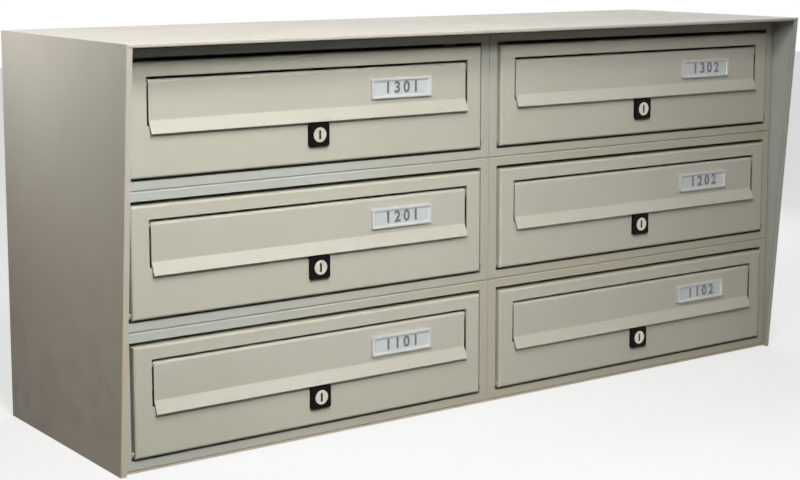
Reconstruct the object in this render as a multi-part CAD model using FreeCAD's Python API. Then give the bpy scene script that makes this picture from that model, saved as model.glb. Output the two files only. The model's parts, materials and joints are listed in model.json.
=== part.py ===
import FreeCAD, Part
import os
from math import cos, radians, sin
from FreeCAD import Vector

# Bank of letterboxes, millimetres. +X is right seen from the front, the front faces -Y, +Z is up.
# The origin is the middle of the floor area that the outer casing covers.

# Boxes
columns = 2
rows = 3
module_width = 370.0  # from one box to the next, across
module_height = 112.5  # from one box to the next, upwards
box_depth = 210.0  # front frame to the back of a box
box_sheet = 1.0
frame_width = 9.1  # visible frame beside a door
frame_rail = 7.85  # visible frame above and below a door
frame_edge_radius = 0.7
frame_lap = 15.0  # depth of a front frame's outer edge inside its box
frame_seam = 0.5  # front frame's edge inside the edge of its box

# Outer casing
casing_sheet = 1.5
hood_projection = 31.5  # roof edge ahead of the front frames
base_projection = 5.0  # side panels ahead of the front frames at the bottom
roof_gap = 3.5  # free height between the top boxes and the roof
hood_hem = 12.0  # sheet folded back under the roof's front edge
side_fold = 5.0  # folded front edge of a side panel, seen from the front
clamp_flange = 18.0  # roof and base flanges held behind the side panels
casing_edge_radius = 1.0

# Doors, hinged along the bottom
door_gap = 2.4  # beside and below a door
door_top_gap = 3.4
door_proud = 3.0  # door face ahead of the front frame
door_sheet = 1.0
door_flange = 21.0  # depth of the folded edge
door_edge_radius = 2.0
hinge_inset = 4.0  # hinge axis behind the door face and above the door's lower edge
hinge_pin_radius = 1.5
hinge_pin_head_radius = 3.0
hinge_pin_head = 1.5
hinge_end_play = 0.3  # between a pin's head and the door
lug_sheet = 1.2
lug_rim = 1.1  # metal round a hinge pin
lug_length = 12.0  # hinge axis to the back of a lug
running_clearance = 0.06  # radial, in hinges and locks
buffer_radius = 4.0
buffer_thickness = 2.0
buffer_from_corner = 20.0
closing_gap = 0.2  # between a closed door and its buffers
stop_tab_width = 14.0
stop_tab_drop = 11.0

# Inlet flaps, hinged along the top
flap_top_margin = 11.3  # top of the inlet below the top of the door
flap_side_margin = 15.5  # end of the inlet inside the end of the door
lock_zone = 35.4  # door face left free below a flap
flap_sheet = 1.0
flap_gap = 2.0  # at the ends of a flap
flap_top_gap = 2.2
flap_setback = 0.6  # flap face behind the door face
flap_rod_radius = 2.0
flap_rod_end = 1.5  # rod past its ears
flap_rest_gap = 0.4  # between the flap and the lower edge of the inlet
lip_bend_radius = 3.0
lip_angle = 25.0  # degrees out of the flap's plane
lip_length = 10.5
ear_depth = 8.0
ear_width = 9.0
ear_sheet = 1.0

# Name holders
holder_width = 63.0
holder_thickness = 2.6
holder_height_share = 0.55  # of the flat part of the flap
holder_foot_share = 0.14  # flat part left free below the holder
holder_centre_offset = 85.5  # right of the middle of the flap
holder_rim = 2.0
holder_pocket = 1.2
holder_corner_radius = 1.2

# Cylinder locks
bezel_size = 20.0
bezel_thickness = 3.0
bezel_corner_radius = 2.0
bezel_edge = 0.6
lock_gap = 1.4  # between a flap's lip and the lock
shank_radius = 8.0
plug_radius = 5.5
plug_head_radius = 6.25
plug_head_depth = 2.0
plug_proud = 0.5
keyway_width = 2.0
keyway_height = 7.5
keyway_depth = 10.0
cam_sheet = 2.0
cam_width = 12.0
cam_length = 19.5  # plug axis to the tip
tail_size = 5.0
cam_screw_radius = 1.5
cam_screw_length = 6.0
cam_screw_head_radius = 4.0
cam_screw_head = 2.5

# Catches that the locks turn behind
catch_sheet = 1.5
catch_width = 14.0
catch_foot = 14.0
catch_side_gap = 2.0  # beside the lock
cam_clearance = 0.6

# Fasteners
bolt_radius = 2.5
bolt_hole_gap = 0.25
bolt_head_radius = 4.5
bolt_head = 3.0
nut_width = 8.0
nut_height = 4.0
thread_past_nut = 1.5
bolt_from_frame = 60.0
bolt_from_back = 40.0
bolt_from_side = 65.0
wall_hole_radius = 4.0

# Sizes that follow from the ones above
overall_width = columns * module_width + 4 * casing_sheet
overall_depth = hood_projection + box_depth + casing_sheet
overall_height = rows * module_height + roof_gap + 2 * casing_sheet
hood_y = -overall_depth / 2
frame_y = hood_y + hood_projection
back_y = overall_depth / 2
box_back_y = back_y - casing_sheet
panel_x = overall_width / 2 - casing_sheet  # inner face of a side panel
boxes_x = columns * module_width / 2
boxes_top = casing_sheet + rows * module_height
roof_z = overall_height - casing_sheet

# Places in one box, measured from the middle of its front frame's lower edge
opening_x = module_width / 2 - frame_width
opening_low = frame_rail
opening_high = module_height - frame_rail
door_face = -door_proud
door_x = opening_x - door_gap
door_low = opening_low + door_gap
door_high = opening_high - door_top_gap
hinge_y = door_face + hinge_inset
hinge_z = door_low + hinge_inset
door_back = door_face + door_flange
frame_return = door_back + closing_gap + buffer_thickness + box_sheet

flap_bore = flap_rod_radius + running_clearance
barrel_radius = flap_bore + flap_sheet
inlet_x = door_x - flap_side_margin
inlet_high = door_high - flap_top_margin
flap_x = inlet_x - flap_gap
flap_axis_y = door_face + flap_setback + barrel_radius
flap_axis_z = inlet_high - flap_top_gap - barrel_radius
lip_end_drop = lip_bend_radius * sin(radians(lip_angle)) + lip_length * cos(radians(lip_angle))
lip_z = door_low + lock_zone
bend_z = lip_z + lip_end_drop  # where the flap's plate starts to flare
flap_flat = flap_axis_z + barrel_radius - bend_z
flap_face = door_face + flap_setback
lip_back_radius = lip_bend_radius + flap_sheet
lip_start_depth = lip_back_radius * cos(radians(lip_angle)) - lip_bend_radius
lip_rest_run = (lip_start_depth + flap_setback + flap_rest_gap) / sin(radians(lip_angle))
inlet_low = bend_z - lip_back_radius * sin(radians(lip_angle)) - lip_rest_run * cos(radians(lip_angle))

lock_z = lip_z - lock_gap - bezel_size / 2
catch_front = frame_return  # behind the turned-back frame, where no door swings
cam_front = catch_front + catch_sheet + cam_clearance
shank_back = cam_front - cam_clearance
cam_back = cam_front + cam_sheet
catch_left = shank_radius + catch_side_gap

# Fastener places along a box
bolt_places_y = (bolt_from_frame, box_depth - bolt_from_back)
bolt_places_x = (-module_width / 2 + bolt_from_side, module_width / 2 - bolt_from_side)
bolt_hole = bolt_radius + bolt_hole_gap
top_stud_z = boxes_top - (clamp_flange - roof_gap) / 2
base_stud_z = casing_sheet + (clamp_flange - casing_sheet) / 2

BOX_NUMBERS = range(1, columns * rows + 1)
X_AXIS = Vector(1, 0, 0)
Y_AXIS = Vector(0, 1, 0)
Z_AXIS = Vector(0, 0, 1)


def box_column(number):
    return (number - 1) % columns


def box_row(number):
    """Row counted from the bottom; box 1 is the first of the top row."""
    return rows - 1 - (number - 1) // columns


def box_place(number):
    x = -boxes_x + (box_column(number) + 0.5) * module_width
    z = casing_sheet + box_row(number) * module_height
    return Vector(x, frame_y, z)


def block(x, y, z):
    """Solid between two limits along each axis."""
    return Part.makeBox(x[1] - x[0], y[1] - y[0], z[1] - z[0], Vector(x[0], y[0], z[0]))


def bar(radius, start, axis, length):
    return Part.makeCylinder(radius, length, start, axis)


def extruded_x(outline, x):
    """Solid between two limits along X, from an outline of (y, z) points."""
    points = [Vector(x[0], y, z) for y, z in outline]
    face = Part.Face(Part.makePolygon(points + points[:1]))
    return face.extrude(X_AXIS * (x[1] - x[0]))


def hexagon(width, start, axis, length):
    """Hexagonal solid across flats of the given width, standing on its start point."""
    radius = width / 2 / cos(radians(30))
    across = Z_AXIS if abs(axis.z) < 0.5 else X_AXIS
    side = axis.cross(across)
    corners = []
    for turn in range(6):
        angle = radians(60 * turn)
        corners.append(start + across * (radius * cos(angle)) + side * (radius * sin(angle)))
    face = Part.Face(Part.makePolygon(corners + corners[:1]))
    return face.extrude(axis * length)


def rounded(shape, radius, wanted):
    """Fillet the straight edges for which wanted(edge's bounding box) is true."""
    edges = [edge for edge in shape.Edges if wanted(edge.BoundBox)]
    return shape.makeFillet(radius, edges)


def lies_on(low, high, place):
    return abs(low - place) < 1e-6 and abs(high - place) < 1e-6


def save(shape, node):
    shape.exportStep("parts/" + node + ".step")
    print(node, len(shape.Solids), "solids", round(shape.Volume, 1), "mm3")


def sleeve(half_width, y, z):
    """Four walls of box sheet inside the given limits, open in front and behind."""
    outer = block((-half_width, half_width), y, z)
    inner_x = half_width - box_sheet
    return outer.cut(block((-inner_x, inner_x), y, (z[0] + box_sheet, z[1] - box_sheet)))


def box_body(number):
    """One sheet box: four walls and a back, open in front."""
    half = module_width / 2
    walls = sleeve(half, (box_sheet, box_depth), (0, module_height))
    back = block((-half, half), (box_depth - box_sheet, box_depth), (0, module_height))
    body = walls.fuse(back).removeSplitter()
    return body.cut(Part.makeCompound(box_holes(number)))


def front_frame():
    """Frame round a door, turned back inside the box and round the opening, with tabs for the buffers."""
    half = module_width / 2
    face_x = half - frame_seam
    face = block((-face_x, face_x), (0, box_sheet), (frame_seam, module_height - frame_seam))
    face = rounded(face, frame_edge_radius, lambda box: lies_on(box.YMin, box.YMax, 0))
    opening = block((-opening_x, opening_x), (0, box_sheet), (opening_low, opening_high))
    outer_edge = sleeve(half - box_sheet, (box_sheet, frame_lap), (box_sheet, module_height - box_sheet))
    inner_edge = sleeve(opening_x + box_sheet, (box_sheet, frame_return),
                        (opening_low - box_sheet, opening_high + box_sheet))
    frame = face.cut(opening).fuse(outer_edge).fuse(inner_edge)
    for x in (-opening_x + buffer_from_corner, opening_x - buffer_from_corner):
        tab = block((x - stop_tab_width / 2, x + stop_tab_width / 2),
                    (frame_return - box_sheet, frame_return),
                    (opening_high - stop_tab_drop, opening_high + box_sheet))
        frame = frame.fuse(tab)
    return frame.removeSplitter()


def box_holes(number):
    """Holes of one box: bolts to its neighbours, casing studs and wall anchors."""
    half = module_width / 2
    middle = module_height / 2
    through = 2 * box_sheet
    holes = []
    for y in bolt_places_y:
        for side, column in ((-1, 0), (1, columns - 1)):
            wall = side * half - box_sheet * (side + 1)
            if box_column(number) != column:
                holes.append(bar(bolt_hole, Vector(wall, y, middle), X_AXIS, through))
            else:
                for z in stud_heights(number):
                    holes.append(bar(bolt_hole, Vector(wall, y, z), X_AXIS, through))
    for x in bolt_places_x:
        if box_row(number) > 0:
            holes.append(bar(bolt_hole, Vector(x, bolt_places_y[1], 0), Z_AXIS, through))
        if box_row(number) < rows - 1:
            top = Vector(x, bolt_places_y[1], module_height - through)
            holes.append(bar(bolt_hole, top, Z_AXIS, through))
        holes.append(bar(bolt_hole, Vector(x, box_depth - through, middle), Y_AXIS, through))
    if box_row(number) in (0, rows - 1):
        holes.append(bar(wall_hole_radius, Vector(0, box_depth - through, middle), Y_AXIS, through))
    return holes


def stud_heights(number):
    """Heights in this box at which a side panel's studs come through its outer wall."""
    heights = []
    if box_row(number) == 0:
        heights.append(base_stud_z - box_place(number).z)
    if box_row(number) == rows - 1:
        heights.append(top_stud_z - box_place(number).z)
    return heights


def door():
    """Sheet door with folded edges, an inlet, ears for the flap's rod and a hole for the lock."""
    outer = block((-door_x, door_x), (door_face, door_back), (door_low, door_high))
    outer = rounded(outer, door_edge_radius, lambda box: lies_on(box.YMin, box.YMax, door_face))
    hollow = block((door_sheet - door_x, door_x - door_sheet),
                   (door_face + door_sheet, door_back),
                   (door_low + door_sheet, door_high - door_sheet))
    inlet = block((-inlet_x, inlet_x), (door_face, door_face + door_sheet), (inlet_low, inlet_high))
    panel = outer.cut(hollow).cut(inlet)
    for low, high in ((-inlet_x - ear_sheet, -inlet_x), (inlet_x, inlet_x + ear_sheet)):
        ear = block((low, high), (door_face + door_sheet / 2, door_face + ear_depth),
                    (flap_axis_z - ear_width / 2, flap_axis_z + ear_width / 2))
        panel = panel.fuse(ear)
    panel = panel.removeSplitter()
    rod_hole = bar(flap_rod_radius, Vector(-inlet_x - 2 * ear_sheet, flap_axis_y, flap_axis_z), X_AXIS,
                   2 * (inlet_x + 2 * ear_sheet))
    hinge_hole = bar(hinge_pin_radius + running_clearance, Vector(-opening_x, hinge_y, hinge_z), X_AXIS,
                     2 * opening_x)
    lock_hole = bar(shank_radius, Vector(0, door_face - door_sheet, lock_z), Y_AXIS, 3 * door_sheet)
    return panel.cut(Part.makeCompound([rod_hole, hinge_hole, lock_hole]))


def flap_outline():
    """Side outline of the flap's plate and flared lip, as a closed wire in the plane of its left end."""
    angle = radians(lip_angle)
    centre_y = flap_face - lip_bend_radius
    along = Vector(0, -sin(angle), -cos(angle)) * lip_length

    def bend_point(radius, turn):
        return Vector(-flap_x, centre_y + radius * cos(turn), bend_z - radius * sin(turn))

    front_top = Vector(-flap_x, flap_face, flap_axis_z)
    back_top = Vector(-flap_x, flap_face + flap_sheet, flap_axis_z)
    front = [bend_point(lip_bend_radius, angle * part) for part in (0, 0.5, 1)]
    back = [bend_point(lip_back_radius, angle * part) for part in (0, 0.5, 1)]
    front_tip = front[2] + along
    back_tip = back[2] + along
    tip_middle = (front_tip + back_tip) / 2 + along * (flap_sheet / 2 / lip_length)
    edges = [
        Part.LineSegment(front_top, front[0]).toShape(),
        Part.Arc(*front).toShape(),
        Part.LineSegment(front[2], front_tip).toShape(),
        Part.Arc(front_tip, tip_middle, back_tip).toShape(),
        Part.LineSegment(back_tip, back[2]).toShape(),
        Part.Arc(*reversed(back)).toShape(),
        Part.LineSegment(back[0], back_top).toShape(),
        Part.LineSegment(back_top, front_top).toShape(),
    ]
    return Part.Wire(edges)


def flap():
    """Inlet flap: a plate curled round its rod at the top and flared into a pull lip at the bottom."""
    plate = Part.Face(flap_outline()).extrude(X_AXIS * (2 * flap_x))
    axis_start = Vector(-flap_x, flap_axis_y, flap_axis_z)
    barrel = bar(barrel_radius, axis_start, X_AXIS, 2 * flap_x)
    bore = bar(flap_bore, axis_start, X_AXIS, 2 * flap_x)
    return plate.fuse(barrel).cut(bore).removeSplitter()


def flap_rod():
    reach = inlet_x + ear_sheet + flap_rod_end
    return bar(flap_rod_radius, Vector(-reach, flap_axis_y, flap_axis_z), X_AXIS, 2 * reach)


def name_holder():
    """Shallow tray on the flap for a name card."""
    low = bend_z + holder_foot_share * flap_flat
    high = low + holder_height_share * flap_flat
    left = holder_centre_offset - holder_width / 2
    right = holder_centre_offset + holder_width / 2
    front = flap_face - holder_thickness
    tray = block((left, right), (front, flap_face), (low, high))
    tray = rounded(tray, holder_corner_radius, lambda box: box.YLength > holder_thickness / 2)
    pocket = block((left + holder_rim, right - holder_rim), (front, front + holder_pocket),
                   (low + holder_rim, high - holder_rim))
    return tray.cut(pocket)


def lock_case():
    """Square face and round shank of the lock, bored for the plug."""
    half = bezel_size / 2
    front = door_face - bezel_thickness
    bezel = block((-half, half), (front, door_face), (lock_z - half, lock_z + half))
    bezel = rounded(bezel, bezel_corner_radius, lambda box: box.YLength > bezel_thickness / 2)
    bezel = rounded(bezel, bezel_edge, lambda box: lies_on(box.YMin, box.YMax, front))
    shank = bar(shank_radius, Vector(0, door_face, lock_z), Y_AXIS, shank_back - door_face)
    bore = bar(plug_radius + running_clearance, Vector(0, front, lock_z), Y_AXIS, shank_back - front)
    seat = bar(plug_head_radius + running_clearance, Vector(0, front, lock_z), Y_AXIS, plug_head_depth)
    return bezel.fuse(shank).cut(bore).cut(seat).removeSplitter()


def cam_screw_thread():
    start = Vector(0, cam_back - cam_screw_length, lock_z)
    return bar(cam_screw_radius, start, Y_AXIS, cam_screw_length)


def lock_plug():
    """Turning plug with its keyway in front and a square tail for the cam behind."""
    front = door_face - bezel_thickness - plug_proud
    head = bar(plug_head_radius, Vector(0, front, lock_z), Y_AXIS, plug_head_depth + plug_proud)
    barrel = bar(plug_radius, Vector(0, front, lock_z), Y_AXIS, cam_front - front)
    half = tail_size / 2
    tail = block((-half, half), (cam_front - cam_sheet, cam_back), (lock_z - half, lock_z + half))
    keyway = block((-keyway_width / 2, keyway_width / 2), (front, front + keyway_depth),
                   (lock_z - keyway_height / 2, lock_z + keyway_height / 2))
    thread = cam_screw_thread()
    return head.fuse(barrel).fuse(tail).removeSplitter().cut(keyway).cut(thread)


def lock_cam():
    """Cam that hangs down while unlocked, with the screw that holds it on the plug."""
    half = cam_width / 2
    arm = block((-half, half), (cam_front, cam_back), (lock_z - cam_length, lock_z))
    arm = arm.fuse(bar(half, Vector(0, cam_front, lock_z), Y_AXIS, cam_sheet)).removeSplitter()
    hole = tail_size / 2
    arm = arm.cut(block((-hole, hole), (cam_front, cam_back), (lock_z - hole, lock_z + hole)))
    head = bar(cam_screw_head_radius, Vector(0, cam_back, lock_z), Y_AXIS, cam_screw_head)
    thread = cam_screw_thread()
    return Part.makeCompound([arm, head.fuse(thread).removeSplitter()])


def lock_catch():
    """Angle on the floor of a box, whose upright the cam turns behind."""
    upright = block((catch_left, catch_left + catch_width), (catch_front, catch_front + catch_sheet),
                    (box_sheet, lock_z + cam_width / 2))
    foot = block((catch_left, catch_left + catch_width), (catch_front, catch_front + catch_foot),
                 (box_sheet, box_sheet + catch_sheet))
    return upright.fuse(foot).removeSplitter()


def hinge_lug(side):
    """Round-nosed plate on the frame's turned-back edge, standing forward in the gap beside the door."""
    inner = opening_x - lug_sheet
    x = sorted((side * inner, side * opening_x))
    nose_radius = hinge_pin_radius + lug_rim
    start = Vector(x[0], hinge_y, hinge_z)
    plate = block(x, (hinge_y, hinge_y + lug_length), (hinge_z - nose_radius, hinge_z + nose_radius))
    plate = plate.fuse(bar(nose_radius, start, X_AXIS, lug_sheet)).removeSplitter()
    return plate.cut(bar(hinge_pin_radius, start, X_AXIS, lug_sheet))


def hinge_pin(side):
    """Pin from a lug into the door's folded edge, with its head inside the door."""
    inward = X_AXIS * -side
    start = Vector(side * opening_x, hinge_y, hinge_z)
    length = door_gap + door_sheet + hinge_end_play
    shank = bar(hinge_pin_radius, start, inward, length)
    head = bar(hinge_pin_head_radius, start + inward * length, inward, hinge_pin_head)
    return shank.fuse(head).removeSplitter()


def door_buffer(side):
    x = side * (opening_x - buffer_from_corner)
    y = frame_return - box_sheet - buffer_thickness
    return bar(buffer_radius, Vector(x, y, door_high - buffer_radius), Y_AXIS, buffer_thickness)


def bolt_and_nut(middle, axis, grip):
    """Bolt with its nut through two walls that meet at the middle point."""
    start = middle - axis * (grip / 2)
    reach = grip + nut_height + thread_past_nut
    bolt = bar(bolt_head_radius, start - axis * bolt_head, axis, bolt_head)
    bolt = bolt.fuse(bar(bolt_radius, start, axis, reach)).removeSplitter()
    return [bolt, nut_on(start + axis * grip, axis)]


def nut_on(seat, axis):
    nut = hexagon(nut_width, seat, axis, nut_height)
    return nut.cut(bar(bolt_radius, seat, axis, nut_height))


def box_joining_bolts():
    grip = 2 * box_sheet
    solids = []
    for number in BOX_NUMBERS:
        place = box_place(number)
        if box_column(number) < columns - 1:
            for y in bolt_places_y:
                joint = place + Vector(module_width / 2, y, module_height / 2)
                solids += bolt_and_nut(joint, X_AXIS, grip)
        if box_row(number) > 0:
            for x in bolt_places_x:
                joint = place + Vector(x, bolt_places_y[1], 0)
                solids += bolt_and_nut(joint, Z_AXIS * -1, grip)
    return Part.makeCompound(solids)


def side_stud_places(side):
    """Points on a side panel's inner face that carry its studs."""
    heights = (base_stud_z, top_stud_z)
    return [Vector(side * panel_x, frame_y + y, z) for y in bolt_places_y for z in heights]


def back_stud_places():
    places = []
    for number in BOX_NUMBERS:
        for x in bolt_places_x:
            point = box_place(number) + Vector(x, 0, module_height / 2)
            places.append(Vector(point.x, box_back_y, point.z))
    return places


def side_panel(side):
    """Side of the casing: it leans forward under the hood and has a folded front edge."""
    foot_y = frame_y - base_projection
    fold_top = overall_height - 2 * casing_sheet
    lean = (hood_y - foot_y) / overall_height
    fold_top_y = foot_y + lean * fold_top
    outer_x = side * overall_width / 2
    sheet_x = sorted((outer_x, side * panel_x))
    fold_x = sorted((outer_x, outer_x - side * side_fold))
    sheet = extruded_x(((foot_y, 0), (hood_y, overall_height), (back_y, overall_height), (back_y, 0)),
                       sheet_x)
    fold = extruded_x(((foot_y, 0), (fold_top_y, fold_top), (fold_top_y + casing_sheet, fold_top),
                       (foot_y + casing_sheet, 0)), fold_x)

    def is_front_edge(box):
        return lies_on(box.XMin, box.XMax, outer_x) and box.YMax < frame_y and box.ZMin < fold_top / 2

    return rounded(sheet.fuse(fold).removeSplitter(), casing_edge_radius, is_front_edge)


def clamp_flange_solids(low, high):
    """Flanges along both sides of the roof or base, pierced for the side panels' studs."""
    solids = []
    for side in (-1, 1):
        x = sorted((side * boxes_x, side * panel_x))
        flange = block(x, (frame_y, box_back_y), (low, high))
        for place in side_stud_places(side):
            if low < place.z < high:
                flange = flange.cut(bar(bolt_hole, place, X_AXIS * -side, casing_sheet))
        solids.append(flange)
    return solids


def roof_hood():
    """Flat roof that runs out over the doors, hemmed along its front edge."""
    roof = block((-panel_x, panel_x), (hood_y, back_y), (roof_z, overall_height))
    hem = block((-panel_x, panel_x), (hood_y, hood_y + hood_hem), (roof_z - casing_sheet, roof_z))
    roof = roof.fuse(hem).removeSplitter()

    def is_front_edge(box):
        return lies_on(box.YMin, box.YMax, hood_y) and box.XLength > panel_x

    roof = rounded(roof, casing_edge_radius, is_front_edge)
    for flange in clamp_flange_solids(roof_z - clamp_flange, roof_z):
        roof = roof.fuse(flange)
    return roof.removeSplitter()


def base_panel():
    base = block((-panel_x, panel_x), (frame_y, back_y), (0, casing_sheet))
    for flange in clamp_flange_solids(casing_sheet, clamp_flange):
        base = base.fuse(flange)
    return base.removeSplitter()


def back_panel():
    """Back of the casing, with a hole for a wall anchor behind each corner box."""
    back = block((-panel_x, panel_x), (box_back_y, back_y), (casing_sheet, roof_z))
    for number in BOX_NUMBERS:
        if box_row(number) in (0, rows - 1):
            place = box_place(number)
            hole = Vector(place.x, box_back_y, place.z + module_height / 2)
            back = back.cut(bar(wall_hole_radius, hole, Y_AXIS, casing_sheet))
    return back


def stud_and_nut(place, axis, grip):
    """Stud welded to a casing panel, with its nut inside a box."""
    stud = bar(bolt_radius, place, axis, grip + nut_height + thread_past_nut)
    return [stud, nut_on(place + axis * grip, axis)]


def casing_fasteners():
    """Studs of the side and back panels with their nuts."""
    solids = []
    for side in (-1, 1):
        for place in side_stud_places(side):
            solids += stud_and_nut(place, X_AXIS * -side, casing_sheet + box_sheet)
    for place in back_stud_places():
        solids += stud_and_nut(place, Y_AXIS * -1, box_sheet)
    return Part.makeCompound(solids)


def in_every_box(solids):
    """Copies of the solids at the place of each box."""
    places = [box_place(number) for number in BOX_NUMBERS]
    return Part.makeCompound([solid.translated(place) for place in places for solid in solids])


os.makedirs("parts", exist_ok=True)

save(roof_hood(), "roof_hood")
save(side_panel(-1), "left_side_panel")
save(side_panel(1), "right_side_panel")
save(base_panel(), "base_panel")
save(back_panel(), "back_panel")
save(casing_fasteners(), "casing_fasteners")
save(box_joining_bolts(), "box_joining_bolts")
save(in_every_box([front_frame()]), "front_frames")
save(in_every_box([hinge_lug(-1), hinge_lug(1)]), "hinge_lugs")
save(in_every_box([hinge_pin(-1), hinge_pin(1)]), "door_hinge_pins")
save(in_every_box([door_buffer(-1), door_buffer(1)]), "door_buffers")
save(in_every_box([lock_catch()]), "lock_catches")

box_parts = {
    "door": door(),
    "flap": flap(),
    "flap_rod": flap_rod(),
    "name_holder": name_holder(),
    "lock_case": lock_case(),
    "lock_plug": lock_plug(),
    "lock_cam": lock_cam(),
}
for number in BOX_NUMBERS:
    save(box_body(number).translated(box_place(number)), f"box_body_{number}")
    for name, shape in box_parts.items():
        save(shape.translated(box_place(number)), f"{name}_{number}")

print("overall", overall_width, overall_depth, overall_height)
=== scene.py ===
# %% [markdown]
# # A bank of six letterboxes
# The measured model gives the sheet-metal pieces: casing, boxes, doors, flaps and locks. This lesson dresses
# them: it gives every surface a finish, adds the thin pieces that a name holder carries, and sets up a small
# photo studio. All lengths are metres, the doors face -Y and +Z is up.

# %% Load the measured model
import json
from math import cos, pi, radians, sin

import bmesh
import bpy
from mathutils import Matrix, Vector


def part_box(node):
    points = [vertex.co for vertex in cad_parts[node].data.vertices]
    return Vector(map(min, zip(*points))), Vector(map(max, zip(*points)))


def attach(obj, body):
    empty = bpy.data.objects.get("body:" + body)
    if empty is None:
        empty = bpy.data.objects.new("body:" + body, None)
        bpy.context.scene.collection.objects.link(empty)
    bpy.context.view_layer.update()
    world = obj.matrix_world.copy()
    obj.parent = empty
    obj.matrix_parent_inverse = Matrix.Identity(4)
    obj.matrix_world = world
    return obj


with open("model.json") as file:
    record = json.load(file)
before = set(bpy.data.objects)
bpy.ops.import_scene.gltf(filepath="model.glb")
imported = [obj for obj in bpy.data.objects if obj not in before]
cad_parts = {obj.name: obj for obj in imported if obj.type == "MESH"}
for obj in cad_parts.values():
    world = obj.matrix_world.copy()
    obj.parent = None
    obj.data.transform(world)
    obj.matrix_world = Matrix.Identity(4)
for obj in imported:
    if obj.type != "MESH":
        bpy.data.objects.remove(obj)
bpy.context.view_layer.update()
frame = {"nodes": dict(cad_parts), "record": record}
cad_nodes = frame["nodes"]

# %% [markdown]
# ## Camera
# The photo was taken from the left front, a little above the roof. A long lens keeps the boxes nearly
# parallel. The lens is shifted a little, as on a view camera, so that the uprights lean less than they would
# if the camera were only tilted down. Its direction comes from two angles, and to_track_quat turns the
# camera's own -Z axis that way.

# %% Set the camera
PICTURE_WIDTH = 800
FOCAL_PIXELS = 1661.0
SENSOR_WIDTH = 36.0
CAMERA_PLACE = Vector((-0.9304, -1.2543, 0.4218))
CAMERA_YAW = radians(35.545)
CAMERA_DIP = radians(7.549)
LENS_SHIFT = -0.1

camera_data = bpy.data.cameras.new("studio_camera")
camera_data.sensor_width = SENSOR_WIDTH
camera_data.lens = FOCAL_PIXELS / PICTURE_WIDTH * SENSOR_WIDTH
camera_data.shift_y = LENS_SHIFT
camera = bpy.data.objects.new("studio_camera", camera_data)
bpy.context.scene.collection.objects.link(camera)
sight = Vector((sin(CAMERA_YAW) * cos(CAMERA_DIP), cos(CAMERA_YAW) * cos(CAMERA_DIP), -sin(CAMERA_DIP)))
camera.location = CAMERA_PLACE
camera.rotation_euler = sight.to_track_quat("-Z", "Y").to_euler()
bpy.context.scene.camera = camera
print("camera with a lens of", round(camera_data.lens, 1), "mm")

# %% [markdown]
# ## Shader nodes
# A finish is a little network of shader nodes. It can be wired by hand in the Shader Editor, but written as
# code it can be repeated and changed in one place. The first helper makes a node and fills in its sockets.
# The second starts a material with its one shader. The third gives the place of a point on the part in
# metres, so that every pattern has its real scale and stays on its piece when a door moves.

# %% Helpers for nodes
def add_node(tree, kind, values=None, **options):
    """New node with its options set and its sockets filled in."""
    made = tree.nodes.new(kind)
    for name, value in options.items():
        setattr(made, name, value)
    for name, value in (values or {}).items():
        made.inputs[name].default_value = value
    return made


def new_finish(name):
    """Empty material with one shader; returns the material, its node tree and the shader."""
    material = bpy.data.materials.new(name)
    material.use_nodes = True
    tree = material.node_tree
    return material, tree, tree.nodes["Principled BSDF"]


def object_place(tree):
    return add_node(tree, "ShaderNodeTexCoord").outputs["Object"]


print("node helpers ready")

# %% [markdown]
# ## Patterns
# No real surface is one flat colour. Cloudy noise makes it drift, a map range turns those clouds into the
# values that a socket needs, a mix blends two colours by them, and a bump node makes them a relief. Noise
# mostly lies between 0.3 and 0.7, so the stretch helper maps that part to the wanted range.

# %% Helpers for patterns
NOISE_LOW = 0.3
NOISE_HIGH = 0.7


def noise(tree, scale, detail=3.0, roughness=0.5):
    """Cloudy pattern from 0 to 1; a scale of 1000 makes clouds about a millimetre wide."""
    made = add_node(tree, "ShaderNodeTexNoise", {"Scale": scale, "Detail": detail, "Roughness": roughness})
    tree.links.new(object_place(tree), made.inputs["Vector"])
    return made.outputs[0]


def remap(tree, value, start, end, low, high):
    """Value from start to end becomes low to high, smoothly and no further."""
    limits = {"From Min": start, "From Max": end, "To Min": low, "To Max": high}
    made = add_node(tree, "ShaderNodeMapRange", limits, interpolation_type="SMOOTHSTEP")
    tree.links.new(value, made.inputs["Value"])
    return made.outputs["Result"]


def stretch(tree, cloud, low, high):
    return remap(tree, cloud, NOISE_LOW, NOISE_HIGH, low, high)


def blend(tree, share, first, second):
    """Mix of two colours; each is a colour or the socket that brings one."""
    made = add_node(tree, "ShaderNodeMix", data_type="RGBA")
    tree.links.new(share, made.inputs[0])
    for socket, colour in ((made.inputs[6], first), (made.inputs[7], second)):
        if isinstance(colour, tuple):
            socket.default_value = colour
        else:
            tree.links.new(colour, socket)
    return made.outputs[2]


def raise_grain(tree, shader, height, depth):
    """Bump of the given depth in metres."""
    made = add_node(tree, "ShaderNodeBump", {"Strength": 1.0, "Distance": depth})
    tree.links.new(height, made.inputs["Height"])
    tree.links.new(made.outputs["Normal"], shader.inputs["Normal"])


print("pattern helpers ready")

# %% [markdown]
# ## Powder coat
# The sheet metal is powder coated in a warm grey. Baked powder is never quite smooth: it has a fine orange
# peel, and its colour and gloss drift a little over a panel. A separate material for each piece would be
# quick, but one function makes all the coats alike. Colours are written as on a screen, 0 to 255. A screen
# brightens dark tones and a shader counts light, so from_screen undoes that curve.

# %% Powder coat
PEEL_SCALE = 650
PEEL_DEPTH = 0.00002
DRIFT_SCALE = 7
SMUDGE_SCALE = 45


def from_screen(red, green, blue):
    """Light values of a screen colour."""
    def light(level):
        share = level / 255
        return share / 12.92 if share <= 0.04045 else ((share + 0.055) / 1.055) ** 2.4
    return (light(red), light(green), light(blue), 1.0)


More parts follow.
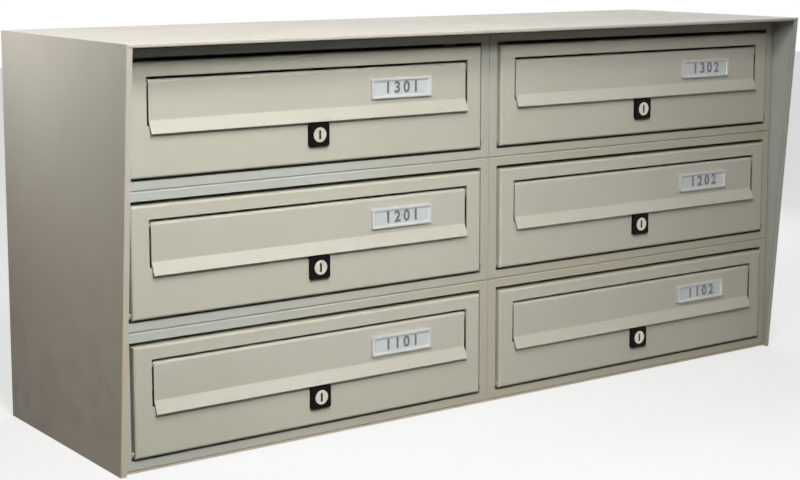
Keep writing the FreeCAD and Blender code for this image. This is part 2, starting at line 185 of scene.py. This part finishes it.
def powder_coat(name, colour, shade, rough_low=0.36, rough_high=0.5, shine=0.25):
    """Coat between two colours; returns the material, its tree, its shader and the colour socket."""
    material, tree, shader = new_finish(name)
    drift = stretch(tree, noise(tree, DRIFT_SCALE), 0.0, 1.0)
    tint = blend(tree, drift, colour, shade)
    smudges = noise(tree, SMUDGE_SCALE, detail=4.0, roughness=0.6)
    raise_grain(tree, shader, noise(tree, PEEL_SCALE, detail=2.0), PEEL_DEPTH)
    tree.links.new(tint, shader.inputs["Base Color"])
    tree.links.new(stretch(tree, smudges, rough_low, rough_high), shader.inputs["Roughness"])
    shader.inputs["IOR"].default_value = 1.5
    shader.inputs["Specular IOR Level"].default_value = shine
    return material, tree, shader, tint


print("powder coat has a peel of", PEEL_DEPTH * 1e6, "micrometres")

# %% [markdown]
# ## Frames
# The frames round the doors are a cooler grey than the rest, and in the photo they look warmer towards the
# lower right. That run from cool to warm is a painted reflection: the cool upper left stands in for the
# bluish surroundings that the glossy coat mirrors there. It could be painted on a UV map, but all six frames
# lie in one plane, so one dot product is enough: it measures how far a point lies in a chosen direction.

# %% Coat of the frames
FRAME_COAT = from_screen(194, 199, 192)
FRAME_SHADE = from_screen(187, 191, 183)
FRAME_REFLECTION_WARM = from_screen(188, 183, 164)
WARM_DIRECTION = (2.0, 0, -1.5)
WARM_START = -1.0
WARM_END = 0.0
WARM_SHARE = 0.95


def vector_math(tree, kind, vector, *constants):
    """Vector math node on a vector socket and one or two constant vectors."""
    made = add_node(tree, "ShaderNodeVectorMath", operation=kind)
    tree.links.new(vector, made.inputs[0])
    for socket, constant in zip(made.inputs[1:], constants):
        socket.default_value = constant
    return made.outputs


def lay_over(tree, shader, tint, mask, colour):
    """Lay dust, marks, a painted reflection, painted shade or another colour over the coat where the mask is
    high.
    """
    mixed = blend(tree, mask, tint, colour)
    tree.links.new(mixed, shader.inputs["Base Color"])
    return mixed


frame_paint, tree, shader, tint = powder_coat("frame_paint", FRAME_COAT, FRAME_SHADE)
# Painted reflection: the frames turn from a cool tint at the upper left to a warm one at the lower right.
across = vector_math(tree, "DOT_PRODUCT", object_place(tree), WARM_DIRECTION)["Value"]
reflection_warmth = remap(tree, across, WARM_START, WARM_END, low=0.0, high=WARM_SHARE)
lay_over(tree, shader, tint, reflection_warmth, FRAME_REFLECTION_WARM)
print("made", frame_paint.name)

# %% [markdown]
# ## Casing
# In the photo the casing looks a little browner towards its foot, which is painted here as a reflection of a
# brownish floor. The insides of its ends are painted in the cooler grey of the frames, as painted shade. A
# little dust lies where it faces up. All that could be painted by hand, but place and normal already say
# where
# it belongs: the place's Z shows the foot, the normal's Z shows what faces up, and where the X of both differ
# in sign, the sheet faces the middle.

# %% Coat of the casing
CASING_COAT = from_screen(204, 199, 187)
CASING_SHADE = from_screen(198, 192, 180)
CASING_FLOOR_REFLECTION = from_screen(208, 196, 174)
FOOT_START = 0.05
FOOT_END = 0.30
FOOT_SHARE = 0.95
INSIDE_START = -0.3
INSIDE_END = -0.2
DUST = from_screen(216, 214, 205)
DUST_SCALE = 14
DUST_SHARE = 0.4


def split(tree, vector):
    """X, Y and Z of a vector socket."""
    made = add_node(tree, "ShaderNodeSeparateXYZ")
    tree.links.new(vector, made.inputs[0])
    return made.outputs


def calculate(tree, kind, first, second):
    """Math node on two sockets, or on a socket and a number."""
    made = add_node(tree, "ShaderNodeMath", operation=kind)
    for socket, value in zip(made.inputs, (first, second)):
        if isinstance(value, float):
            socket.default_value = value
        else:
            tree.links.new(value, socket)
    return made.outputs[0]


casing_paint, tree, shader, tint = powder_coat("casing_paint", CASING_COAT, CASING_SHADE)
facing = split(tree, add_node(tree, "ShaderNodeNewGeometry").outputs["Normal"])
place = split(tree, object_place(tree))
# Painted reflection: the casing turns browner towards its foot, as if it mirrored a brownish floor.
floor_reflection = remap(tree, place["Z"], FOOT_START, FOOT_END, low=FOOT_SHARE, high=0.0)
tint = lay_over(tree, shader, tint, floor_reflection, CASING_FLOOR_REFLECTION)
# Painted shade: the insides of the casing's ends get the cooler grey of the frames.
outward = calculate(tree, "MULTIPLY", facing["X"], place["X"])
inside_painted_shade = remap(tree, outward, INSIDE_START, INSIDE_END, low=1.0, high=0.0)
tint = lay_over(tree, shader, tint, inside_painted_shade, FRAME_COAT)
upward = remap(tree, facing["Z"], start=0.6, end=0.95, low=0.0, high=DUST_SHARE)
dust_clouds = noise(tree, DUST_SCALE, detail=5.0, roughness=0.65)
dust_patches = remap(tree, dust_clouds, start=0.42, end=0.68, low=0.0, high=1.0)
lay_over(tree, shader, tint, calculate(tree, "MULTIPLY", upward, dust_patches), DUST)
print("made", casing_paint.name)

# %% [markdown]
# ## Where a point lies in its own box
# All six boxes are alike, so their wear could be copied from box to box, but it is easier to draw it once and
# let it repeat. Wrapping the part's X and Z by the distance from box to box gives every box the same place
# numbers: X from the middle, Z from the lower edge.

# %% Places within one box
BOX_WIDTH = 0.37
BOX_HEIGHT = 0.1125
BOX_FOOT = 0.0015
LOCK_HEIGHT = 0.03425


def box_place(tree):
    """Place of a point, wrapped to lie between the highest and the lowest corner of one box."""
    shifted = vector_math(tree, "SUBTRACT", object_place(tree), (BOX_WIDTH / 2, 0, BOX_FOOT))
    highest = (BOX_WIDTH / 2, 1, BOX_HEIGHT)
    lowest = (-BOX_WIDTH / 2, -1, 0)
    return vector_math(tree, "WRAP", shifted["Vector"], highest, lowest)["Vector"]


def lock_distance(tree):
    """Distance from the axis of the box's lock."""
    flat = vector_math(tree, "MULTIPLY", box_place(tree), (1, 0, 1))
    return vector_math(tree, "DISTANCE", flat["Vector"], (0, 0, LOCK_HEIGHT))["Value"]


print("box places repeat every", BOX_WIDTH, "by", BOX_HEIGHT, "m")

# %% [markdown]
# ## Doors
# Keys that miss the lock leave small dull marks round it. They could be painted on each door, but all six
# locks sit alike, so the distance from the lock fades the marks out and fine noise breaks them into specks.

# %% Coat of the doors
DOOR_COAT = from_screen(201, 199, 183)
DOOR_SHADE = from_screen(196, 194, 178)
GRIME = from_screen(150, 144, 128)
KEY_MARKS_START = 0.010
KEY_MARKS_END = 0.026
KEY_MARK_SHARE = 0.3
KEY_MARK_SCALE = 420

door_paint, tree, shader, tint = powder_coat("door_paint", DOOR_COAT, DOOR_SHADE)
near_lock = remap(tree, lock_distance(tree), KEY_MARKS_START, KEY_MARKS_END, low=KEY_MARK_SHARE, high=0.0)
key_clouds = noise(tree, KEY_MARK_SCALE, roughness=0.7)
key_marks = remap(tree, key_clouds, start=0.5, end=0.66, low=0.0, high=1.0)
lay_over(tree, shader, tint, calculate(tree, "MULTIPLY", near_lock, key_marks), GRIME)
print("made", door_paint.name)

# %% [markdown]
# ## Flaps
# The flaps are coated aluminium with more gloss than the doors, so their lips catch the lamps. Hands that
# lift them leave faint marks along the lips. The height within the box picks out the lip on every flap at
# once, so no faces have to be selected by hand.

# %% Coat of the flaps
FLAP_COAT = from_screen(200, 197, 183)
FLAP_SHADE = from_screen(195, 192, 177)
LIP_END = 0.0457
LIP_FADE = 0.006
FINGER_MARK_SHARE = 0.15
FINGER_MARK_SCALE = 160

flap_paint, tree, shader, tint = powder_coat("flap_paint", FLAP_COAT, FLAP_SHADE,
                                             rough_low=0.29, rough_high=0.33, shine=0.45)
height_in_box = split(tree, box_place(tree))["Z"]
on_lip = remap(tree, height_in_box, LIP_END, LIP_END + LIP_FADE, low=FINGER_MARK_SHARE, high=0.0)
finger_clouds = noise(tree, FINGER_MARK_SCALE, roughness=0.6)
finger_marks = remap(tree, finger_clouds, start=0.45, end=0.65, low=0.0, high=1.0)
lay_over(tree, shader, tint, calculate(tree, "MULTIPLY", on_lip, finger_marks), GRIME)
print("made", flap_paint.name)

# %% [markdown]
# ## Black lock faces
# The square faces of the locks are die-cast and stained black, with the grain of the die. One flat black
# would look like a hole, so clouds let colour and gloss change together. Plastic, rubber, nickel and paper
# come about in the same way, so one function starts them all and only the numbers differ.

# %% Cast black
BLACK_GRAIN_SCALE = 1800
BLACK_GRAIN_DEPTH = 0.00004


def cloudy_finish(name, cloud_scale, first, second, rough_low, rough_high, detail=3.0, roughness=0.5):
    """Finish whose colour and gloss follow one cloud pattern; returns that pattern too."""
    material, tree, shader = new_finish(name)
    cloud = noise(tree, cloud_scale, detail, roughness)
    tree.links.new(blend(tree, cloud, first, second), shader.inputs["Base Color"])
    tree.links.new(stretch(tree, cloud, rough_low, rough_high), shader.inputs["Roughness"])
    return material, tree, shader, cloud


lock_black, tree, shader, _ = cloudy_finish(
    "lock_black", cloud_scale=300, first=(0.002, 0.002, 0.002, 1), second=(0.006, 0.0057, 0.0053, 1),
    rough_low=0.36, rough_high=0.52)
raise_grain(tree, shader, noise(tree, BLACK_GRAIN_SCALE, detail=2.0), BLACK_GRAIN_DEPTH)
shader.inputs["Specular IOR Level"].default_value = 0.08
print("made", lock_black.name)

# %% [markdown]
# ## Name holders
# The name holders are glossy silver-white mouldings. They are smooth, but not as smooth as glass: a faint
# grain from the mould breaks the reflections, which is why the bump is shallow and its scale fine.

# %% Moulded plastic
MOULD_GRAIN_SCALE = 900
MOULD_GRAIN_DEPTH = 0.00002

holder_plastic, tree, shader, _ = cloudy_finish(
    "holder_plastic", cloud_scale=120, first=from_screen(222, 223, 221), second=from_screen(212, 213, 211),
    rough_low=0.16, rough_high=0.28)
raise_grain(tree, shader, noise(tree, MOULD_GRAIN_SCALE, detail=2.0), MOULD_GRAIN_DEPTH)
print("made", holder_plastic.name)

# %% [markdown]
# ## Door buffers
# The buffers behind the doors are dull rubber. Rubber scatters light in all directions, so the roughness is
# high, and the same clouds that change its colour also raise its coarse skin.

# %% Rubber
RUBBER_SKIN_DEPTH = 0.00008

rubber, tree, shader, skin = cloudy_finish(
    "rubber", cloud_scale=600, first=(0.02, 0.02, 0.02, 1), second=(0.045, 0.043, 0.04, 1),
    rough_low=0.7, rough_high=0.9)
raise_grain(tree, shader, skin, RUBBER_SKIN_DEPTH)
print("made", rubber.name)

# %% [markdown]
# ## Lock plugs
# The lock plugs are turned on a lathe and nickel plated, so fine rings run round their axes. An image of
# rings would blur when the camera comes close, but a sine of the distance from the lock draws them at any
# size.

# %% Turned nickel
RING_WIDTH = 0.0005
RING_DEPTH = 0.000008

lock_chrome, tree, shader, _ = cloudy_finish(
    "lock_chrome", cloud_scale=500, first=(0.69, 0.665, 0.57, 1), second=(0.60, 0.58, 0.50, 1),
    rough_low=0.2, rough_high=0.34)
shader.inputs["Metallic"].default_value = 1.0
turns = calculate(tree, "MULTIPLY", lock_distance(tree), 2 * pi / RING_WIDTH)
rings = add_node(tree, "ShaderNodeMath", operation="SINE")
tree.links.new(turns, rings.inputs[0])
raise_grain(tree, shader, rings.outputs[0], RING_DEPTH)
print("made", lock_chrome.name)

# %% [markdown]
# ## Bolts and hinges
# Bolts, pins, hinges and lock cams are zinc plated steel, gone dull with age. The bath leaves a spangle of
# small crystals. Noise would be too soft for them, so the cells of a Voronoi pattern give each its own grey.

# %% Zinc plate
SPANGLE_SCALE = 420
ZINC_CLOUD_SCALE = 260
ZINC_GRAIN_SCALE = 1500
ZINC_GRAIN_DEPTH = 0.00001
BRIGHT_ZINC = (0.40, 0.405, 0.41, 1)
DULL_ZINC = (0.31, 0.315, 0.315, 1)

zinc_steel, tree, shader = new_finish("zinc_steel")
shader.inputs["Metallic"].default_value = 1.0
spangle = add_node(tree, "ShaderNodeTexVoronoi", {"Scale": SPANGLE_SCALE})
tree.links.new(object_place(tree), spangle.inputs["Vector"])
flake = add_node(tree, "ShaderNodeSeparateColor")
tree.links.new(spangle.outputs["Color"], flake.inputs[0])
tree.links.new(blend(tree, flake.outputs[0], BRIGHT_ZINC, DULL_ZINC), shader.inputs["Base Color"])
zinc_rough = stretch(tree, noise(tree, ZINC_CLOUD_SCALE), low=0.42, high=0.58)
tree.links.new(zinc_rough, shader.inputs["Roughness"])
raise_grain(tree, shader, noise(tree, ZINC_GRAIN_SCALE, detail=2.0), ZINC_GRAIN_DEPTH)
print("made", zinc_steel.name)

# %% [markdown]
# ## Painting the measured pieces
# The record of the part says which finish each piece has, so no list of pieces is needed here. The shapes
# are right as they were measured: each mesh keeps its form and gets that one material.

# %% Give every measured piece its finish
finishes = {
    "casing_paint": casing_paint,
    "frame_paint": frame_paint,
    "door_paint": door_paint,
    "flap_paint": flap_paint,
    "lock_black": lock_black,
    "lock_chrome": lock_chrome,
    "zinc_steel": zinc_steel,
    "holder_plastic": holder_plastic,
    "rubber": rubber,
}
for subpart in frame["record"]["subparts"]:
    mesh = cad_nodes[subpart["node"]].data
    mesh.materials.clear()
    mesh.materials.append(finishes[subpart["material_slot"]])

# %% [markdown]
# ## New pieces
# Each name holder carries a paper card, the print on it and a clear window. They are too thin for the
# measured model and are built here. Every new piece starts as a bmesh, gets its normals turned outwards, and
# rides on the body of its flap, so that it moves with the flap.

# %% Tools for new pieces
HOLDER_RIM = 0.002
HOLDER_POCKET = 0.0012
BOX_NUMBERS = range(1, 7)
TURN_TO_FRONT = Matrix.Rotation(radians(90), 4, "X")


def add_piece(name, builder, material, body):
    """Object made from a bmesh, riding on a body of the part."""
    mesh = bpy.data.meshes.new(name)
    bmesh.ops.recalc_face_normals(builder, faces=builder.faces)
    builder.to_mesh(mesh)
    builder.free()
    mesh.materials.append(material)
    piece = bpy.data.objects.new(name, mesh)
    bpy.context.scene.collection.objects.link(piece)
    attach(piece, body)
    return piece


def pocket(number):
    """Middle of a holder's pocket floor, and the pocket's width and height."""
    low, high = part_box(f"name_holder_{number}")
    middle = (low + high) / 2
    middle.y = low.y + HOLDER_POCKET
    return middle, high.x - low.x - 2 * HOLDER_RIM, high.z - low.z - 2 * HOLDER_RIM


print("pocket of the first holder is", [round(side, 4) for side in pocket(1)[1:]], "m")

# %% [markdown]
# ## Name cards
# Each card is cut a little smaller than the pocket it lies in and bows forward slightly, as paper does. A
# grid is the simplest start: it is turned to face the front, bowed by a cosine, and given the thickness of
# card. Paper is matt, and its fibres show as fine, uneven noise.

# %% Name cards
CARD_GAP = 0.0004
CARD_THICKNESS = 0.00025
CARD_BOW = 0.00015
FIBRE_DEPTH = 0.00003

paper, tree, shader, fibres = cloudy_finish(
    "card_paper", cloud_scale=900, first=from_screen(184, 190, 191), second=from_screen(171, 177, 179),
    rough_low=0.75, rough_high=0.9, detail=5.0, roughness=0.7)
raise_grain(tree, shader, fibres, FIBRE_DEPTH)


def name_card(number):
    floor, width, height = pocket(number)
    width -= 2 * CARD_GAP
    height -= 2 * CARD_GAP
    card = bmesh.new()
    bmesh.ops.create_grid(card, x_segments=24, y_segments=6, size=0.5)
    bmesh.ops.scale(card, vec=(width, height, 1), verts=card.verts)
    bmesh.ops.transform(card, matrix=TURN_TO_FRONT, verts=card.verts)
    for vert in card.verts:
        vert.co.y = -CARD_BOW * cos(pi * vert.co.x / width)
    bmesh.ops.translate(card, vec=floor - Vector((0, CARD_GAP / 4, 0)), verts=card.verts)
    bmesh.ops.recalc_face_normals(card, faces=card.faces)
    bmesh.ops.solidify(card, geom=card.faces[:], thickness=CARD_THICKNESS)
    return add_piece(f"name_card_{number}", card, paper, f"flap_{number}_body")


cards = [name_card(number) for number in BOX_NUMBERS]
print("cards", len(cards), "with", len(cards[0].data.polygons), "faces each")

# %% [markdown]
# ## Print on the cards
# The cards carry nothing but the number of a flat: its staircase, its floor and its place on the floor. A
# number starts as a text curve, which Blender fills, and becomes a mesh as thin as ink. That keeps the edges
# of the digits sharp at any distance, and fattening their outline makes the print bold.

# %% Flat numbers
INK = 0.00003
NUMBER_SIZE = 0.0135
NUMBER_SPREAD = 1.45
BOLD = 0.0004
STAIRCASE = 1
COLUMNS = 2
FLOORS = 3
SPECKLE_SCALE = 2500


def printing_ink():
    material, tree, shader = new_finish("print_grey")
    speckle = noise(tree, SPECKLE_SCALE)
    colour = blend(tree, speckle, from_screen(66, 67, 68), from_screen(86, 87, 87))
    tree.links.new(colour, shader.inputs["Base Color"])
    shader.inputs["Roughness"].default_value = 0.7
    return material


def number_mesh(number):
    """Filled digits of a flat's number, lying in the XY plane."""
    row, column = divmod(number - 1, COLUMNS)
    text = bpy.data.curves.new(f"number_{number}", "FONT")
    text.body = f"{STAIRCASE}{FLOORS - row}0{column + 1}"
    text.size = NUMBER_SIZE
    text.space_character = NUMBER_SPREAD
    text.align_x = "CENTER"
    text.align_y = "CENTER"
    text.offset = BOLD
    text.extrude = INK / 2
    holder = bpy.data.objects.new(f"number_{number}", text)
    bpy.context.scene.collection.objects.link(holder)
    flat = bpy.data.meshes.new_from_object(holder.evaluated_get(bpy.context.evaluated_depsgraph_get()))
    bpy.data.objects.remove(holder)
    return flat


def card_print(number, material):
    floor = pocket(number)[0]
    in_front = floor.y - CARD_THICKNESS - CARD_BOW - CARD_GAP / 4 - INK
    ink = bmesh.new()
    ink.from_mesh(number_mesh(number))
    bmesh.ops.remove_doubles(ink, verts=ink.verts, dist=1e-7)
    bmesh.ops.transform(ink, matrix=TURN_TO_FRONT, verts=ink.verts)
    bmesh.ops.translate(ink, vec=(floor.x, in_front, floor.z), verts=ink.verts)
    return add_piece(f"card_print_{number}", ink, material, f"flap_{number}_body")


grey_print = printing_ink()
prints = [card_print(number, grey_print) for number in BOX_NUMBERS]
print("prints", len(prints))

# %% [markdown]
# ## Clear windows
# The window snaps into the holder's rim in front of the card. It is a thin block whose front edges are
# rounded over, so that its outline catches the light. To the eye it is real clear plastic, with a refraction
# index of 1.49. For the rays that look for a lamp it is open, or the card behind would lie in the dark. A mix
# shader switches between the two.

# %% Windows over the cards
WINDOW_GAP = 0.00015
WINDOW_THICKNESS = 0.0004


def mix_shaders(tree, share, first, second, output="Material Output"):
    """Surface that is the first shader where the share is 0 and the second where it is 1."""
    mixed = add_node(tree, "ShaderNodeMixShader")
    for socket, source in zip(mixed.inputs, (share, first.outputs[0], second.outputs[0])):
        tree.links.new(source, socket)
    tree.links.new(mixed.outputs[0], tree.nodes[output].inputs["Surface"])


def clear_plastic():
    material, tree, shader = new_finish("clear_window")
    shader.inputs["Base Color"].default_value = (0.98, 0.99, 0.98, 1)
    shader.inputs["Transmission Weight"].default_value = 1.0
    shader.inputs["IOR"].default_value = 1.49
    shader.inputs["Roughness"].default_value = 0.04
    path = add_node(tree, "ShaderNodeLightPath")
    open_way = add_node(tree, "ShaderNodeBsdfTransparent")
    mix_shaders(tree, path.outputs["Is Shadow Ray"], shader, open_way)
    return material


def holder_window(number, material):
    floor, width, height = pocket(number)
    pane = bmesh.new()
    bmesh.ops.create_cube(pane, size=1.0)
    size = (width - 2 * WINDOW_GAP, WINDOW_THICKNESS, height - 2 * WINDOW_GAP)
    bmesh.ops.scale(pane, vec=size, verts=pane.verts)
    front = [edge for edge in pane.edges if all(vert.co.y < 0 for vert in edge.verts)]
    bmesh.ops.bevel(pane, geom=front, offset=WINDOW_THICKNESS / 2, offset_type="OFFSET", affect="EDGES",
                    segments=3, profile=0.5, material=-1)
    front_y = floor.y - HOLDER_POCKET + WINDOW_THICKNESS / 2 + WINDOW_GAP / 2
    bmesh.ops.translate(pane, vec=(floor.x, front_y, floor.z), verts=pane.verts)
    return add_piece(f"window_{number}", pane, material, f"flap_{number}_body")


window_clear = clear_plastic()
windows = [holder_window(number, window_clear) for number in BOX_NUMBERS]
print("windows", len(windows))

# %% [markdown]
# ## Seen or only lighting
# The studio is white to the camera, but so much white all round would wash out the paint. The Light Path node
# tells rays apart: a surface can be white where the camera sees it, directly, in a mirror or through glass,
# and dim where it only lights the paint. A ray that has already bounced off paint has a diffuse depth of 1.

# %% Helper for the studio
def seen_directly(tree):
    """1 where the camera sees a surface itself, in a mirror or through glass, and 0 elsewhere."""
    path = add_node(tree, "ShaderNodeLightPath").outputs
    optical = calculate(tree, "MAXIMUM", path["Is Glossy Ray"], path["Is Transmission Ray"])
    before_paint = calculate(tree, "LESS_THAN", path["Diffuse Depth"], 0.5)
    still_seen = calculate(tree, "MULTIPLY", optical, before_paint)
    return calculate(tree, "MAXIMUM", path["Is Camera Ray"], still_seen)


print("studio helper ready")

# %% [markdown]
# ## Floor
# The bank stands on a plain pale floor. Part of its white is its own glow, seen by the camera only, and the
# rest is lit by the lamps, so the floor keeps the shadow of the bank. It lies a hair below the base, because
# two faces in one plane would flicker.

# %% Pale floor
FLOOR_SIZE = 8.0
FLOOR_DROP = 0.0002
FLOOR_GLOW = 0.65
FLOOR_BOUNCE = (0.07, 0.068, 0.066, 1)
FLOOR_PALE = (0.95, 0.95, 0.95, 1)
FLOOR_SHADE = (0.91, 0.91, 0.91, 1)
FLOOR_CLOUD_SCALE = 30


def floor_finish():
    material, tree, shader = new_finish("pale_floor")
    seen = seen_directly(tree)
    pale = blend(tree, noise(tree, FLOOR_CLOUD_SCALE, detail=4.0), FLOOR_PALE, FLOOR_SHADE)
    tree.links.new(blend(tree, seen, FLOOR_BOUNCE, pale), shader.inputs["Base Color"])
    shader.inputs["Roughness"].default_value = 0.9
    glow = add_node(tree, "ShaderNodeEmission", {"Color": (1, 1, 1, 1), "Strength": 1.0})
    mix_shaders(tree, calculate(tree, "MULTIPLY", seen, FLOOR_GLOW), shader, glow)
    return material


floor_builder = bmesh.new()
bmesh.ops.create_grid(floor_builder, x_segments=1, y_segments=1, size=FLOOR_SIZE / 2)
bmesh.ops.translate(floor_builder, vec=(0, 0, -FLOOR_DROP), verts=floor_builder.verts)
floor_mesh = bpy.data.meshes.new("studio_floor")
floor_builder.to_mesh(floor_mesh)
floor_builder.free()
floor_mesh.materials.append(floor_finish())
studio_floor = bpy.data.objects.new("studio_floor", floor_mesh)
bpy.context.scene.collection.objects.link(studio_floor)
print("floor of", FLOOR_SIZE, "m")

# %% [markdown]
# ## White room
# Behind the floor is a white room. It needs no walls: the world shader is white where it is seen and a weak
# grey-blue where it only fills the shadows.

# %% World
ROOM_LIGHT = 0.025

world = bpy.data.worlds.new("white_room")
world.use_nodes = True
bpy.context.scene.world = world
room_tree = world.node_tree
dim_room = room_tree.nodes["Background"]
dim_room.inputs["Color"].default_value = (0.95, 0.98, 1.0, 1)
dim_room.inputs["Strength"].default_value = ROOM_LIGHT
white_room = add_node(room_tree, "ShaderNodeBackground", {"Color": (1, 1, 1, 1), "Strength": 1.0})
mix_shaders(room_tree, seen_directly(room_tree), dim_room, white_room, output="World Output")
print("room light", ROOM_LIGHT)

# %% [markdown]
# ## Lamps
# Seven soft boxes do the work. The front one has a narrow beam on the left column, so the right column is
# dimmer. It and the high one throw the shadow of the hood on the top row. The side one shades the left panel
# from its upper edge downwards, and the top one keeps the roof bright over its whole length. The rear one is
# lower than the roof, so that it lights the back and the right end alone. It isn't mirrored, because a low
# lamp's reflection would show every uneven spot of the coat. The tall strip stands where the lips of the
# flaps mirror it, with a cooler light that makes them whiter, and a weak low one fills the lower right. Lamps
# are hidden from rays that pass glass, because the windows already let their light straight through. The
# Standard view shows colours as they are written.

# %% Soft boxes
LAMP_COLOUR = (1.0, 0.985, 0.965)
STRIP_COLOUR = (0.92, 0.985, 1.12)


def soft_box(name, place, target, width, height, power, spread=180, colour=LAMP_COLOUR, mirrored=True):
    """Area lamp that looks at a target; power is in watts, spread is its beam in degrees."""
    data = bpy.data.lights.new(name, "AREA")
    data.shape = "RECTANGLE"
    data.size = width
    data.size_y = height
    data.energy = power
    data.spread = radians(spread)
    data.color = colour
    lamp = bpy.data.objects.new(name, data)
    bpy.context.scene.collection.objects.link(lamp)
    lamp.location = place
    lamp.rotation_euler = (Vector(target) - Vector(place)).to_track_quat("-Z", "Y").to_euler()
    lamp.visible_transmission = False
    lamp.visible_glossy = mirrored
    return lamp


lamps = [
    soft_box("front_lamp", (-0.50, -1.15, 0.91), (-0.15, -0.09, 0.11), 0.4, 0.3, 1.4, spread=64),
    soft_box("high_lamp", (-0.50, -0.70, 1.05), (-0.45, -0.09, 0.20), 0.25, 0.25, 6.5),
    soft_box("side_lamp", (-0.63, 0.18, 0.48), (-0.37, 0.02, 0.42), 0.2, 0.2, 0.44, spread=110),
    soft_box("top_lamp", (0.30, 0.35, 1.20), (0.25, 0.0, 0.34), 0.6, 0.4, 3.9),
    soft_box("rear_lamp", (0.95, 0.80, 0.19), (0.15, 0.05, 0.17), 0.5, 0.28, 2.4, spread=110, mirrored=False),
    soft_box("strip_lamp", (0.42, -1.13, 0.95), (-0.30, -0.10, 0.16), 0.15, 0.6, 0.24, spread=64,
             colour=STRIP_COLOUR),
    soft_box("low_lamp", (0.20, -1.00, 0.10), (0.15, -0.09, 0.03), 0.4, 0.15, 0.09, spread=60),
]
bpy.context.scene.view_settings.view_transform = "Standard"
print("lamps:", [lamp.name for lamp in lamps])
